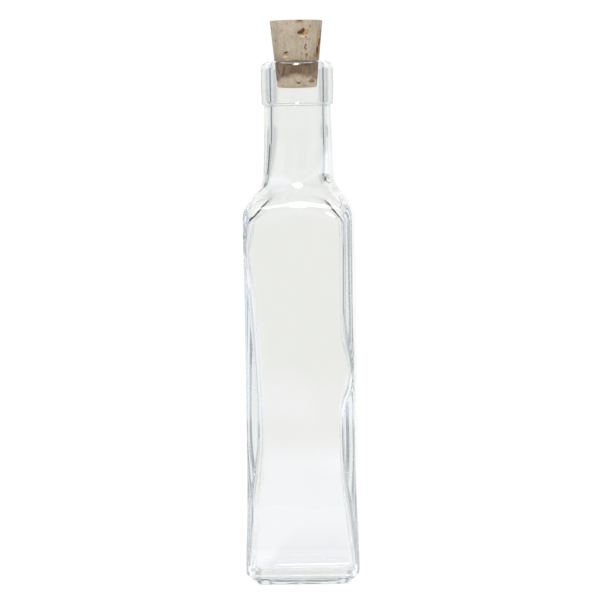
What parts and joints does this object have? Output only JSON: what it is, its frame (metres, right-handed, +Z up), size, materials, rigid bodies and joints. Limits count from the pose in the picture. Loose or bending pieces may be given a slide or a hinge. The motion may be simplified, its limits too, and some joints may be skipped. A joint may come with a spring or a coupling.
{
  "type": "corked glass bottle",
  "caption": "Tall square clear glass oil or vinegar bottle with a round neck, a collar at the mouth and a tapered cork.",
  "frame": {"origin": "centre of the base, on the surface that the bottle stands on", "axes": "+Z up along the bottle, -Y out of the front face, +X to the right of someone who looks at the front face"},
  "size_m": [0.0468, 0.0468, 0.233],
  "materials": {
    "clear_glass": "clear polished soda-lime glass with a faint blue-green tint",
    "cork_bark": "natural cork, matt, pinkish tan with darker pores"
  },
  "bodies": {
    "root": {"bottle": "clear_glass", "cork": "cork_bark"}
  },
  "joints": []
}
